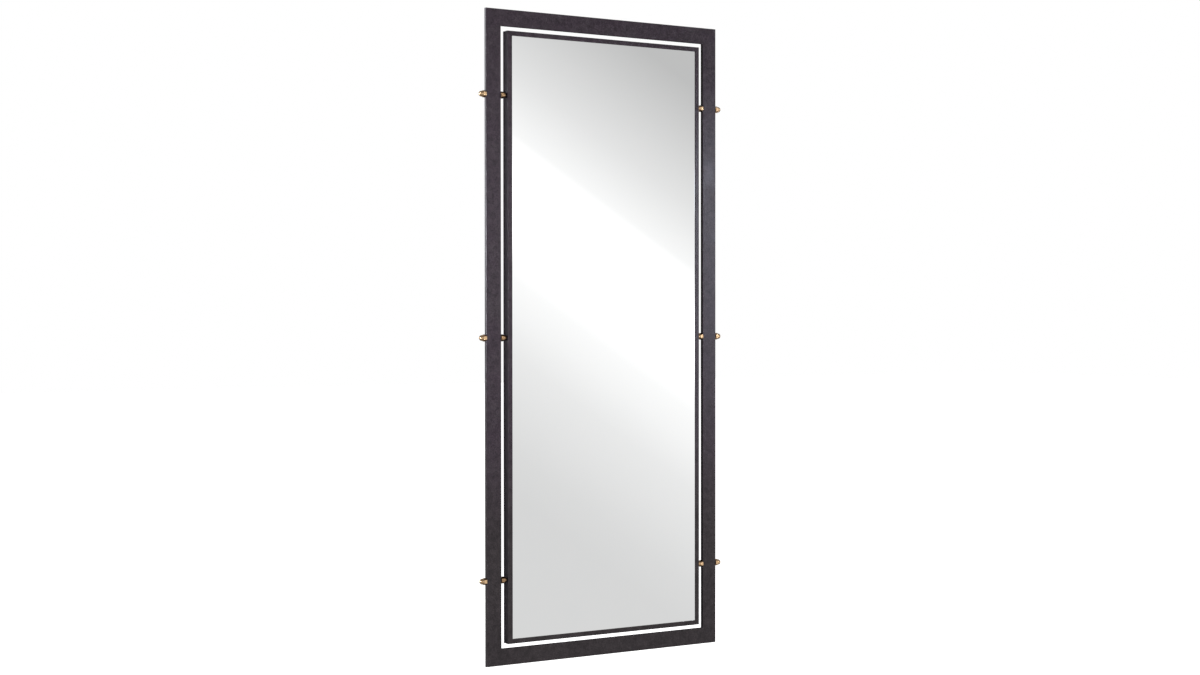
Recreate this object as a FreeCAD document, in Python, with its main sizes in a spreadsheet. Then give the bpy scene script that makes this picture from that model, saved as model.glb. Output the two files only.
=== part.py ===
import FreeCAD, Part
import math
import os

import Sketcher
from FreeCAD import Placement, Rotation, Vector

# A full-length wall mirror. A flat steel tube frame stands round a deeper, narrower frame of folded
# angle that holds the glass. Three brass tie rods a side cross the open gap and join the two.
# The origin is the middle of the wall plane. +Z is up, and the glass faces -Y.

# Driving dimensions in millimetres, and angles in degrees
SIZES = (
    ("frame_height", 2032, "outer frame, top edge to bottom edge"),
    ("frame_width", 864, "outer frame, left edge to right edge"),
    ("member_width", 52, "outer frame member, seen from the front"),
    ("member_thickness", 12, "outer frame member, front to back"),
    ("member_wall", 1.5, "wall of the outer frame's tube"),
    ("member_edge_radius", 1.5, "eased long edges of the tube"),
    ("side_gap", 20, "open gap between the frames at the sides"),
    ("end_gap", 14, "open gap between the frames at top and bottom"),
    ("inner_depth", 30, "inner frame, front face to back edge"),
    ("inner_proud", 8, "inner frame's front beyond the outer frame's front"),
    ("lip_width", 15, "inner frame, seen from the front"),
    ("angle_thickness", 1.5, "steel of the folded angle"),
    ("angle_bend_radius", 2, "outside of the angle's bend"),
    ("tape_thickness", 0.5, "glazing tape behind the lip"),
    ("tape_width", 9, "glazing tape"),
    ("glass_thickness", 4, "mirror glass"),
    ("glass_clearance", 2, "glass to the inner frame's wall, sides and top"),
    ("glass_arris", 0.6, "ground edge of the glass"),
    ("block_height", 3, "setting block under the glass"),
    ("block_length", 60, "setting block"),
    ("sheet_thickness", 1, "backing sheet behind the glass"),
    ("board_thickness", 15, "back board"),
    ("board_clearance", 0.5, "back board to the inner frame's wall"),
    ("rod_diameter", 8, "tie rod"),
    ("rod_end_distance", 265, "frame's end to the nearest tie rod"),
    ("rod_chamfer", 1, "tie rod's ends"),
    ("rod_tip_clearance", 0.5, "tie rod's tip to the bottom of the cap nut"),
    ("rod_hole_clearance", 0.5, "hole in the steel over the rod's diameter"),
    ("thread_clearance", 0.1, "threaded bore over the rod's diameter"),
    ("nut_width", 19, "cap nut and spacer, across the flats"),
    ("nut_hex_length", 10, "hexagonal part of the cap nut and spacer"),
    ("nut_chamfer_angle", 30, "chamfer of the hexagon's ends"),
    ("dome_radius", 9, "round end of the cap nut and spacer"),
    ("cap_dome_height", 12, "cap nut's round end beyond its hexagon"),
    ("cap_bore_reach", 6, "thread in the cap nut's round end"),
    ("spacer_land_diameter", 11, "flat end of the spacer against the inner frame"),
    ("insert_diameter", 12, "threaded insert in the back board"),
    ("insert_length", 22, "threaded insert"),
    ("insert_slot_width", 2, "driver slot in the insert"),
    ("insert_slot_depth", 2, "driver slot in the insert"),
    ("insert_fit", 0.1, "board's hole over the insert's diameter"),
    ("hanger_drop", 330, "frame's top edge down to the hangers"),
    ("hanger_inset", 142, "frame's side edge in to the hangers"),
    ("wire_diameter", 4, "hanger ring's wire"),
    ("ring_opening", 22, "clear width inside the hanger ring"),
    ("ring_corner_radius", 4, "lower bends of the ring, at the wire's centre"),
    ("ring_reach", 22, "ring's pivot to its far wire, centre to centre"),
    ("ring_rest_gap", 0.3, "ring to the back board at rest"),
    ("eye_clearance", 0.1, "rolled eye to the wire, all round"),
    ("eye_slot", 0.4, "rolled eye's open seam"),
    ("strap_thickness", 1.5, "hanger strap"),
    ("strap_width", 15, "hanger strap"),
    ("strap_length", 68, "ring's pivot to the strap's lower end"),
    ("strap_end_radius", 5, "lower corners of the strap"),
    ("screw_first", 14, "ring's pivot to the first screw"),
    ("screw_pitch", 22, "between screws of one strap"),
    ("screw_diameter", 4, "screw's shank"),
    ("screw_length", 12, "screw below its head"),
    ("screw_point", 3, "tapered end of the screw"),
    ("screw_head_diameter", 8, "pan head"),
    ("screw_head_height", 2.6, "pan head"),
    ("screw_head_bevel", 1.2, "pan head's edge"),
    ("screw_hole_clearance", 0.5, "strap's hole over the shank"),
    ("screw_pilot_clearance", 0.1, "board's hole over the shank"),
    ("bumper_diameter", 22, "wall bumper at the board"),
    ("bumper_taper", 1.5, "wall bumper's side, smaller at the wall by"),
    ("bumper_bevel", 1, "wall bumper's edge"),
    ("bumper_inset", 40, "board's edges to the bumper's centre"),
    ("wall_standoff", 1.5, "inner frame's back edge to the wall"),
    ("overrun", 5, "cuts run past the face they leave"),
)

SCREWS_PER_STRAP = 3
SIDES = (("left", -1), ("right", 1))
ENDS = (("top", 1), ("bottom", -1))
LEVELS = (("top", 1), ("middle", 0), ("bottom", -1))

# A sketch's values stand at one unit until the sheet sets them; edges are told apart to this closeness
UNIT = 1.0
NEAR = 0.001

# Sizes that follow from the driving ones
INNER_WIDTH = "(Sizes.frame_width - 2 * (Sizes.member_width + Sizes.side_gap))"
INNER_HEIGHT = "(Sizes.frame_height - 2 * (Sizes.member_width + Sizes.end_gap))"
CLEAR_WIDTH = f"({INNER_WIDTH} - 2 * Sizes.angle_thickness)"
CLEAR_HEIGHT = f"({INNER_HEIGHT} - 2 * Sizes.angle_thickness)"
GLASS_WIDTH = f"({CLEAR_WIDTH} - 2 * Sizes.glass_clearance)"
GLASS_HEIGHT = f"({CLEAR_HEIGHT} - Sizes.glass_clearance - Sizes.block_height)"
BOARD_WIDTH = f"({CLEAR_WIDTH} - 2 * Sizes.board_clearance)"
BOARD_HEIGHT = f"({CLEAR_HEIGHT} - 2 * Sizes.board_clearance)"
ROD_HOLE = "(Sizes.rod_diameter + Sizes.rod_hole_clearance)"
THREAD_BORE = "(Sizes.rod_diameter + Sizes.thread_clearance)"
CAP_BORE_DEPTH = "(Sizes.nut_hex_length + Sizes.cap_bore_reach)"
EYE_BORE_RADIUS = "(Sizes.wire_diameter / 2 + Sizes.eye_clearance)"
EYE_RADIUS = f"({EYE_BORE_RADIUS} + Sizes.strap_thickness)"
RING_HALF_WIDTH = "((Sizes.ring_opening + Sizes.wire_diameter) / 2)"

# Depths, measured from the wall, which is y = 0
INNER_FRONT = "(-Sizes.wall_standoff - Sizes.inner_depth)"
OUTER_FRONT = f"({INNER_FRONT} + Sizes.inner_proud)"
TAPE_FRONT = f"({INNER_FRONT} + Sizes.angle_thickness)"
GLASS_FRONT = f"({TAPE_FRONT} + Sizes.tape_thickness)"
SHEET_FRONT = f"({GLASS_FRONT} + Sizes.glass_thickness)"
BOARD_FRONT = f"({SHEET_FRONT} + Sizes.sheet_thickness)"
BOARD_BACK = f"({BOARD_FRONT} + Sizes.board_thickness)"
ROD_DEPTH = f"({OUTER_FRONT} + Sizes.member_thickness / 2)"
PIVOT_DEPTH = f"({BOARD_BACK} + {EYE_RADIUS})"

# Heights, measured from the middle of the frame
ROD_PITCH = "(Sizes.frame_height / 2 - Sizes.rod_end_distance)"
GLASS_MIDDLE = "((Sizes.block_height - Sizes.glass_clearance) / 2)"
HANGER_HEIGHT = "(Sizes.frame_height / 2 - Sizes.hanger_drop)"
HANGER_SPREAD = "(Sizes.frame_width / 2 - Sizes.hanger_inset)"

doc = FreeCAD.newDocument("WallMirror")
sub_parts = []


def fill_sheet():
    """Write the driving dimensions into the spreadsheet, one a row, each with its alias."""
    sheet = doc.addObject("Spreadsheet::Sheet", "Sizes")
    for row, (alias, value, meaning) in enumerate(SIZES, start=1):
        sheet.set(f"A{row}", meaning)
        sheet.set(f"B{row}", str(value))
        sheet.setAlias(f"B{row}", alias)
    doc.recompute()


# Sketches

def new_body(label):
    """An empty body under the sub-part's own name."""
    body = doc.addObject("PartDesign::Body", label)
    body.Label = label
    return body


def new_sketch(body, name, role, offset=None):
    """A sketch on one of the body's origin planes, moved along the plane's normal by an expression."""
    sketch = body.newObject("Sketcher::SketchObject", name)
    plane = next(item for item in body.Origin.OriginFeatures if item.Role == role)
    sketch.AttachmentSupport = [(plane, "")]
    sketch.MapMode = "FlatFace"
    if offset is not None:
        sketch.setExpression("AttachmentOffset.Base.z", offset)
    return sketch


def bind(sketch, name, constraint, expression):
    """Add a constraint under a name and tie its value to the spreadsheet."""
    index = sketch.addConstraint(constraint)
    sketch.renameConstraint(index, name)
    sketch.setExpression(f"Constraints.{name}", expression)


def pin_point(sketch, name, geometry, point, x, y):
    """Hold one point of the sketch at a place given by two expressions."""
    bind(sketch, f"{name}_x", Sketcher.Constraint("DistanceX", -1, 1, geometry, point, UNIT), x)
    bind(sketch, f"{name}_y", Sketcher.Constraint("DistanceY", -1, 1, geometry, point, UNIT), y)


def draw_outline(sketch, name, corners):
    """A closed straight-sided outline through corners given as pairs of expressions."""
    count = len(corners)
    first = sketch.GeometryCount
    turns = [math.tau * index / count for index in range(count + 1)]
    spots = [Vector(UNIT * math.cos(turn), UNIT * math.sin(turn), 0) for turn in turns]
    for start, end in zip(spots, spots[1:]):
        sketch.addGeometry(Part.LineSegment(start, end), False)
    for index, (x, y) in enumerate(corners):
        following = first + (index + 1) % count
        sketch.addConstraint(Sketcher.Constraint("Coincident", first + index, 2, following, 1))
        pin_point(sketch, f"{name}{index}", first + index, 1, x, y)


def draw_rectangle(sketch, name, left, bottom, right, top):
    """A rectangle between two corners given by expressions."""
    draw_outline(sketch, name, [(left, bottom), (right, bottom), (right, top), (left, top)])


def draw_centred(sketch, name, width, height):
    """A rectangle centred on the sketch's origin."""
    draw_rectangle(sketch, name, f"-{width} / 2", f"-{height} / 2", f"{width} / 2", f"{height} / 2")


def draw_circle(sketch, name, x, y, diameter):
    """A circle with its centre and diameter given by expressions."""
    circle = sketch.addGeometry(Part.Circle(Vector(0, 0, 0), Vector(0, 0, 1), UNIT), False)
    pin_point(sketch, name, circle, 3, x, y)
    bind(sketch, f"{name}_d", Sketcher.Constraint("Diameter", circle, UNIT), diameter)


# Features

def extrude(body, kind, sketch, name, length=None, both_ways=False, reverse=False):
    """A pad or a pocket of a sketch, through everything where no length is given."""
    feature = body.newObject(f"PartDesign::{kind}", name)
    feature.Profile = sketch
    feature.SideType = "Symmetric" if both_ways else "One side"
    feature.Reversed = reverse
    if length is None:
        feature.Type = "ThroughAll"
    else:
        feature.setExpression("Length", length)
    return feature


def turn(body, kind, sketch, name):
    """A revolution or a groove of a sketch, a full turn about its upright axis."""
    feature = body.newObject(f"PartDesign::{kind}", name)
    feature.Profile = sketch
    feature.ReferenceAxis = (sketch, ["V_Axis"])
    feature.Angle = 360
    return feature


def dress(body, kind, name, measure, amount, wanted):
    """A fillet or a chamfer on the edges of the body so far for which wanted says yes."""
    doc.recompute()
    base = body.Tip
    edges = [f"Edge{number}" for number, edge in enumerate(base.Shape.Edges, start=1) if wanted(edge)]
    feature = body.newObject(f"PartDesign::{kind}", name)
    feature.Base = (base, edges)
    feature.setExpression(measure, amount)
    return feature


def runs_along(axis, near=None):
    """A test for straight edges along an axis, and, where a point is given, only those that pass it."""
    def test(edge):
        if not isinstance(edge.Curve, Part.Line) or not edge.Curve.Direction.cross(axis).Length < NEAR:
            return False
        return near is None or edge.CenterOfMass.distanceToPoint(near) < NEAR
    return test


def size(alias):
    """A driving dimension's number, for picking edges and for a sketch's first guess."""
    return doc.Sizes.get(alias)


def place(body, x="0", y="0", z="0", axis=Vector(0, 0, 1), angle=0):
    """Turn the finished piece about its own origin and put that origin at its place in the mirror."""
    body.Placement = Placement(Vector(0, 0, 0), Rotation(axis, angle))
    for letter, expression in zip("xyz", (x, y, z)):
        body.setExpression(f"Placement.Base.{letter}", expression)
    sub_parts.append(body)


# Frame members. Each is modelled upright: x runs in from its outer edge, y runs back from its front
# face and z runs along it, with the origin at the middle of its length.

def cut_mitres(body, length, width):
    """Cut both ends at 45 degrees, longest along the outer edge."""
    sketch = new_sketch(body, "Mitres", "XZ_Plane")
    for name, end in (("upper", 1), ("lower", -1)):
        draw_outline(sketch, name, [
            ("-Sizes.overrun", f"{end} * ({length} / 2 + Sizes.overrun)"),
            (f"{width} + Sizes.overrun", f"{end} * ({length} / 2 - {width} - Sizes.overrun)"),
            (f"{width} + Sizes.overrun", f"{end} * ({length} / 2 + Sizes.overrun)"),
        ])
    extrude(body, "Pocket", sketch, "MitreCut", both_ways=True)


def drill_for_rods(body, depth):
    """Drill a member edgewise for the three tie rods of its side."""
    sketch = new_sketch(body, "RodHoles", "YZ_Plane")
    for level, share in LEVELS:
        draw_circle(sketch, level, depth, f"{share} * {ROD_PITCH}", ROD_HOLE)
    extrude(body, "Pocket", sketch, "RodDrilling", both_ways=True)


def outer_member(label, length):
    """A mitred length of flat rectangular tube with eased long edges."""
    body = new_body(label)
    section = new_sketch(body, "Section", "XY_Plane")
    draw_rectangle(section, "outside", "0", "0", "Sizes.member_width", "Sizes.member_thickness")
    extrude(body, "Pad", section, "Bar", length, both_ways=True)
    dress(body, "Fillet", "EasedEdges", "Radius", "Sizes.member_edge_radius", runs_along(Vector(0, 0, 1)))
    hollow = new_sketch(body, "Hollow", "XY_Plane")
    draw_rectangle(hollow, "inside", "Sizes.member_wall", "Sizes.member_wall",
                   "Sizes.member_width - Sizes.member_wall", "Sizes.member_thickness - Sizes.member_wall")
    extrude(body, "Pocket", hollow, "TubeBore", both_ways=True)
    cut_mitres(body, length, "Sizes.member_width")
    return body


def inner_member(label, length):
    """A mitred length of folded angle: a lip in front of the glass and a wall beside it."""
    body = new_body(label)
    section = new_sketch(body, "Section", "XY_Plane")
    draw_outline(section, "angle", [
        ("0", "0"),
        ("Sizes.lip_width", "0"),
        ("Sizes.lip_width", "Sizes.angle_thickness"),
        ("Sizes.angle_thickness", "Sizes.angle_thickness"),
        ("Sizes.angle_thickness", "Sizes.inner_depth"),
        ("0", "Sizes.inner_depth"),
    ])
    extrude(body, "Pad", section, "Fold", length, both_ways=True)
    inside = Vector(size("angle_thickness"), size("angle_thickness"), 0)
    dress(body, "Fillet", "BendOutside", "Radius", "Sizes.angle_bend_radius",
          runs_along(Vector(0, 0, 1), Vector(0, 0, 0)))
    dress(body, "Fillet", "BendInside", "Radius", "Sizes.angle_bend_radius - Sizes.angle_thickness",
          runs_along(Vector(0, 0, 1), inside))
    cut_mitres(body, length, "Sizes.lip_width")
    return body


def make_frame(name, member, width, height, front, hole_depth):
    """Four members of one frame, placed round the middle; the two stiles are drilled for the rods."""
    for side, direction in SIDES:
        stile = member(f"{name}_{side}_stile", height)
        drill_for_rods(stile, hole_depth)
        turned = 0 if direction < 0 else 180
        place(stile, x=f"{direction} * {width} / 2", y=front, axis=Vector(0, 1, 0), angle=turned)
    for end, direction in ENDS:
        rail = member(f"{name}_{end}_rail", width)
        place(rail, y=front, z=f"{direction} * {height} / 2", axis=Vector(0, 1, 0), angle=90 * direction)


# Glass and what backs it. Each is a sheet seen from the front, with its front face at y = 0.

def sheet_body(label, width, height, thickness):
    """A flat rectangular sheet."""
    body = new_body(label)
    face = new_sketch(body, "Face", "XZ_Plane")
    draw_centred(face, "edge", width, height)
    extrude(body, "Pad", face, "Sheet", thickness, reverse=True)
    return body


def make_glass():
    """The mirror glass, with ground edges, and the tape that beds it on the lip."""
    glass = sheet_body("mirror_glass", GLASS_WIDTH, GLASS_HEIGHT, "Sizes.glass_thickness")
    dress(glass, "Chamfer", "GroundEdges", "Size", "Sizes.glass_arris", lambda edge: True)
    place(glass, y=GLASS_FRONT, z=GLASS_MIDDLE)
    tape = new_body("glazing_tape")
    ring = new_sketch(tape, "Ring", "XZ_Plane")
    draw_centred(ring, "outside", GLASS_WIDTH, GLASS_HEIGHT)
    draw_centred(ring, "inside", f"({GLASS_WIDTH} - 2 * Sizes.tape_width)",
                 f"({GLASS_HEIGHT} - 2 * Sizes.tape_width)")
    extrude(tape, "Pad", ring, "Strip", "Sizes.tape_thickness", reverse=True)
    place(tape, y=TAPE_FRONT, z=GLASS_MIDDLE)


def make_setting_blocks():
    """Two blocks that carry the glass, a quarter of its width in from each side."""
    for side, direction in SIDES:
        block = new_body(f"{side}_setting_block")
        foot = new_sketch(block, "Foot", "XY_Plane")
        draw_rectangle(foot, "foot", "-Sizes.block_length / 2", "0", "Sizes.block_length / 2",
                       "Sizes.glass_thickness")
        extrude(block, "Pad", foot, "Block", "Sizes.block_height")
        place(block, x=f"{direction} * {GLASS_WIDTH} / 4", y=GLASS_FRONT, z=f"-{CLEAR_HEIGHT} / 2")


def make_board():
    """The back board, drilled in its side edges for the inserts and in its back for the screws."""
    board = sheet_body("back_board", BOARD_WIDTH, BOARD_HEIGHT, "Sizes.board_thickness")
    for side, direction in SIDES:
        edge = new_sketch(board, f"{side}_edge", "YZ_Plane", f"{direction} * {BOARD_WIDTH} / 2")
        for level, share in LEVELS:
            draw_circle(edge, level, f"{ROD_DEPTH} - {BOARD_FRONT}", f"{share} * {ROD_PITCH}",
                        "(Sizes.insert_diameter + Sizes.insert_fit)")
        extrude(board, "Pocket", edge, f"{side}_insert_holes", "Sizes.insert_length + Sizes.insert_fit",
                reverse=direction < 0)
    back = new_sketch(board, "Back", "XZ_Plane", "-Sizes.board_thickness")
    for side, direction in SIDES:
        for number in range(SCREWS_PER_STRAP):
            draw_circle(back, f"{side}{number}", f"{direction} * {HANGER_SPREAD}",
                        f"{HANGER_HEIGHT} - {screw_drop(number)}",
                        "(Sizes.screw_diameter + Sizes.screw_pilot_clearance)")
    extrude(board, "Pocket", back, "PilotHoles", "Sizes.screw_length", reverse=True)
    place(board, y=BOARD_FRONT)


def make_backing_sheet():
    """The thin sheet between the glass's silvering and the board."""
    sheet = sheet_body("backing_sheet", GLASS_WIDTH, GLASS_HEIGHT, "Sizes.sheet_thickness")
    place(sheet, y=SHEET_FRONT, z=GLASS_MIDDLE)


# Tie rods and what is threaded on them. Each is modelled along z, with +z pointing out of the mirror.

def place_on_rod(body, direction, x, share, inward=False):
    """Lay a piece on the axis of one tie rod, pointing away from the middle of the mirror or to it."""
    pointing = -direction if inward else direction
    place(body, x=f"{direction} * {x}", y=ROD_DEPTH, z=f"{share} * {ROD_PITCH}",
          axis=Vector(0, 1, 0), angle=90 * pointing)


def hexagonal_end(body):
    """A hexagon with two of its corners on the sketch's x axis, its corners turned down at the far end."""
    across = new_sketch(body, "Across", "XY_Plane")
    corner = "Sizes.nut_width / sqrt(3)"
    flat = "Sizes.nut_width / 2"
    draw_outline(across, "hexagon", [
        (corner, "0"), (f"{corner} / 2", flat), (f"-{corner} / 2", flat),
        (f"-{corner}", "0"), (f"-{corner} / 2", f"-{flat}"), (f"{corner} / 2", f"-{flat}"),
    ])
    extrude(body, "Pad", across, "Hexagon", "Sizes.nut_hex_length")
    profile = new_sketch(body, "ChamferProfile", "XZ_Plane")
    reach = "Sizes.nut_width / 4"
    far = "Sizes.nut_hex_length"
    draw_outline(profile, "cone", [
        (flat, far),
        (f"{flat} + {reach}", far),
        (f"{flat} + {reach}", f"{far} - {reach} * tan(Sizes.nut_chamfer_angle)"),
    ])
    turn(body, "Groove", profile, "Chamfer")


def domed_end(body, centre):
    """A collar and a ball beyond the hexagon, the ball's centre at a height along the axis."""
    collar = new_sketch(body, "Collar", "XY_Plane")
    draw_circle(collar, "collar", "0", "0", "(2 * Sizes.dome_radius)")
    extrude(body, "Pad", collar, "StraightCollar", centre)
    dome = body.newObject("PartDesign::AdditiveSphere", "Dome")
    dome.setExpression("Radius", "Sizes.dome_radius")
    dome.setExpression("AttachmentOffset.Base.z", centre)
    plane = next(item for item in body.Origin.OriginFeatures if item.Role == "XY_Plane")
    dome.AttachmentSupport = [(plane, "")]
    dome.MapMode = "FlatFace"


def make_spacer(label, direction, share):
    """A hexagon on the outer stile whose domed end, bored through, seats flat on the inner frame."""
    spacer = new_body(label)
    hexagonal_end(spacer)
    domed_end(spacer, "Sizes.side_gap - sqrt(Sizes.dome_radius ^ 2 - (Sizes.spacer_land_diameter / 2) ^ 2)")
    land = new_sketch(spacer, "Land", "XY_Plane", "Sizes.side_gap")
    draw_circle(land, "land", "0", "0", "(2 * Sizes.dome_radius + Sizes.overrun)")
    extrude(spacer, "Pocket", land, "FlatEnd", "Sizes.dome_radius", reverse=True)
    bore = new_sketch(spacer, "Bore", "XY_Plane")
    draw_circle(bore, "bore", "0", "0", THREAD_BORE)
    extrude(spacer, "Pocket", bore, "Thread", both_ways=True)
    place_on_rod(spacer, direction, "(Sizes.frame_width / 2 - Sizes.member_width)", share, inward=True)


def make_cap_nut(label, direction, share):
    """A cap nut: a hexagon with a ball-shaped end and a blind thread."""
    cap = new_body(label)
    hexagonal_end(cap)
    domed_end(cap, "Sizes.nut_hex_length + Sizes.cap_dome_height - Sizes.dome_radius")
    bore = new_sketch(cap, "Bore", "XY_Plane")
    draw_circle(bore, "bore", "0", "0", THREAD_BORE)
    extrude(cap, "Pocket", bore, "Thread", CAP_BORE_DEPTH, reverse=True)
    place_on_rod(cap, direction, "Sizes.frame_width / 2", share)


def make_insert(label, direction, share):
    """A threaded insert, flush with the board's edge, with a driver slot across its mouth."""
    insert = new_body(label)
    barrel = new_sketch(insert, "Barrel", "XY_Plane")
    draw_circle(barrel, "outside", "0", "0", "Sizes.insert_diameter")
    draw_circle(barrel, "inside", "0", "0", THREAD_BORE)
    extrude(insert, "Pad", barrel, "Tube", "Sizes.insert_length", reverse=True)
    slot = new_sketch(insert, "Slot", "XY_Plane")
    draw_centred(slot, "slot", "(Sizes.insert_diameter + Sizes.overrun)", "Sizes.insert_slot_width")
    extrude(insert, "Pocket", slot, "DriverSlot", "Sizes.insert_slot_depth")
    place_on_rod(insert, direction, f"{BOARD_WIDTH} / 2", share)


def make_tie_rod(label, direction, share):
    """A rod from the bottom of its insert to just short of the bottom of its cap nut."""
    rod = new_body(label)
    section = new_sketch(rod, "Section", "XY_Plane")
    draw_circle(section, "rod", "0", "0", "Sizes.rod_diameter")
    shank = extrude(rod, "Pad", section, "Shank", f"{CAP_BORE_DEPTH} - Sizes.rod_tip_clearance")
    shank.SideType = "Two sides"
    shank.setExpression("Length2", f"(Sizes.frame_width - {BOARD_WIDTH}) / 2 + Sizes.insert_length")
    dress(rod, "Chamfer", "Ends", "Size", "Sizes.rod_chamfer",
          lambda edge: isinstance(edge.Curve, Part.Circle))
    place_on_rod(rod, direction, "Sizes.frame_width / 2", share)


# Hangers. Strap and ring are modelled about the ring's pivot, with x along it and y out of the board.

def screw_drop(number):
    """How far below the ring's pivot a strap's screw sits."""
    return f"(Sizes.screw_first + {number} * Sizes.screw_pitch)"


def make_strap(side, direction):
    """A strap screwed to the board, its upper end rolled into an eye for the ring."""
    strap = new_body(f"{side}_hanger_strap")
    board_face = f"-{EYE_RADIUS}"
    flat = new_sketch(strap, "Flat", "YZ_Plane")
    draw_rectangle(flat, "flat", board_face, "-Sizes.strap_length", f"-{EYE_BORE_RADIUS}", "0")
    extrude(strap, "Pad", flat, "Strip", "Sizes.strap_width", both_ways=True)
    across = runs_along(Vector(0, 1, 0))
    dress(strap, "Fillet", "EndCorners", "Radius", "Sizes.strap_end_radius",
          lambda edge: across(edge) and edge.CenterOfMass.z < -NEAR)
    roll = new_sketch(strap, "Roll", "YZ_Plane")
    draw_circle(roll, "outside", "0", "0", f"(2 * {EYE_RADIUS})")
    extrude(strap, "Pad", roll, "Eye", "Sizes.strap_width", both_ways=True)
    bore = new_sketch(strap, "Bore", "YZ_Plane")
    draw_circle(bore, "inside", "0", "0", f"(2 * {EYE_BORE_RADIUS})")
    extrude(strap, "Pocket", bore, "EyeBore", both_ways=True)
    seam = new_sketch(strap, "Seam", "YZ_Plane")
    draw_rectangle(seam, "seam", f"-{EYE_BORE_RADIUS}", f"-{EYE_RADIUS}",
                   f"-{EYE_BORE_RADIUS} + Sizes.eye_slot", "0")
    extrude(strap, "Pocket", seam, "OpenSeam", both_ways=True)
    holes = new_sketch(strap, "Holes", "XZ_Plane")
    for number in range(SCREWS_PER_STRAP):
        draw_circle(holes, f"hole{number}", "0", f"-{screw_drop(number)}",
                    "(Sizes.screw_diameter + Sizes.screw_hole_clearance)")
    extrude(strap, "Pocket", holes, "ScrewHoles", both_ways=True)
    place(strap, x=f"{direction} * {HANGER_SPREAD}", y=PIVOT_DEPTH, z=HANGER_HEIGHT)


def draw_ring_path(sketch):
    """The wire's centre line: a straight leg on the pivot, two bends, two sides and a half-round bow."""
    half = size("ring_opening") / 2 + size("wire_diameter") / 2
    bend = size("ring_corner_radius")
    shoulder = size("ring_reach") - half
    start = Vector(0, 0, 0)
    up = Vector(0, 0, 1)
    leg = half - bend
    right_bend = Part.ArcOfCircle(Part.Circle(Vector(leg, bend, 0), up, bend), -math.pi / 2, 0)
    left_bend = Part.ArcOfCircle(Part.Circle(Vector(-leg, bend, 0), up, bend), math.pi, math.pi * 3 / 2)
    bow = Part.ArcOfCircle(Part.Circle(Vector(0, shoulder, 0), up, half), 0, math.pi)
    sketch.addGeometry([
        Part.LineSegment(start, Vector(leg, 0, 0)),
        right_bend,
        Part.LineSegment(Vector(half, bend, 0), Vector(half, shoulder, 0)),
        bow,
        Part.LineSegment(Vector(-half, shoulder, 0), Vector(-half, bend, 0)),
        left_bend,
        Part.LineSegment(Vector(-leg, 0, 0), start),
    ], False)
    sketch.addConstraint([
        Sketcher.Constraint("Coincident", 0, 1, -1, 1),
        Sketcher.Constraint("Coincident", 6, 2, 0, 1),
        Sketcher.Constraint("Horizontal", 0),
        Sketcher.Constraint("Tangent", 0, 2, 1, 1),
        Sketcher.Constraint("Tangent", 1, 2, 2, 1),
        Sketcher.Constraint("Tangent", 2, 2, 3, 1),
        Sketcher.Constraint("Tangent", 3, 2, 4, 1),
        Sketcher.Constraint("Tangent", 4, 2, 5, 1),
        Sketcher.Constraint("Tangent", 5, 2, 6, 1),
        Sketcher.Constraint("Vertical", 2),
        Sketcher.Constraint("Vertical", 4),
        Sketcher.Constraint("Equal", 1, 5),
        Sketcher.Constraint("PointOnObject", 3, 3, -2),
    ])
    bind(sketch, "bend", Sketcher.Constraint("Radius", 1, bend), "Sizes.ring_corner_radius")
    bind(sketch, "bow", Sketcher.Constraint("Radius", 3, half), RING_HALF_WIDTH)
    bind(sketch, "reach", Sketcher.Constraint("DistanceY", -1, 1, 3, 3, shoulder),
         f"Sizes.ring_reach - {RING_HALF_WIDTH}")


def make_ring(side, direction):
    """The D-shaped wire ring, leaning in until it all but rests on the board."""
    ring = new_body(f"{side}_hanger_ring")
    path = new_sketch(ring, "Path", "XZ_Plane")
    draw_ring_path(path)
    wire = new_sketch(ring, "Wire", "YZ_Plane")
    draw_circle(wire, "wire", "0", "0", "Sizes.wire_diameter")
    bent = ring.newObject("PartDesign::AdditivePipe", "BentWire")
    bent.Profile = wire
    bent.Spine = path
    place(ring, x=f"{direction} * {HANGER_SPREAD}", y=PIVOT_DEPTH, z=HANGER_HEIGHT, axis=Vector(1, 0, 0))
    lean = f"asin(({EYE_RADIUS} - Sizes.wire_diameter / 2 - Sizes.ring_rest_gap) / Sizes.ring_reach)"
    ring.setExpression("Placement.Rotation.Angle", lean)


def make_screw(label, direction, number):
    """A pan-head screw through the strap into the board, modelled along z with its head at the top."""
    screw = new_body(label)
    profile = new_sketch(screw, "Profile", "XZ_Plane")
    shank = "Sizes.screw_diameter / 2"
    rim = "Sizes.screw_head_diameter / 2"
    draw_outline(profile, "half", [
        ("0", "-Sizes.screw_length"),
        (shank, "-Sizes.screw_length + Sizes.screw_point"),
        (shank, "0"),
        (rim, "0"),
        (rim, "Sizes.screw_head_height - Sizes.screw_head_bevel"),
        (f"{rim} - Sizes.screw_head_bevel", "Sizes.screw_head_height"),
        ("0", "Sizes.screw_head_height"),
    ])
    turn(screw, "Revolution", profile, "Turned")
    place(screw, x=f"{direction} * {HANGER_SPREAD}", y=f"{BOARD_BACK} + Sizes.strap_thickness",
          z=f"{HANGER_HEIGHT} - {screw_drop(number)}", axis=Vector(1, 0, 0), angle=-90)


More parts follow.
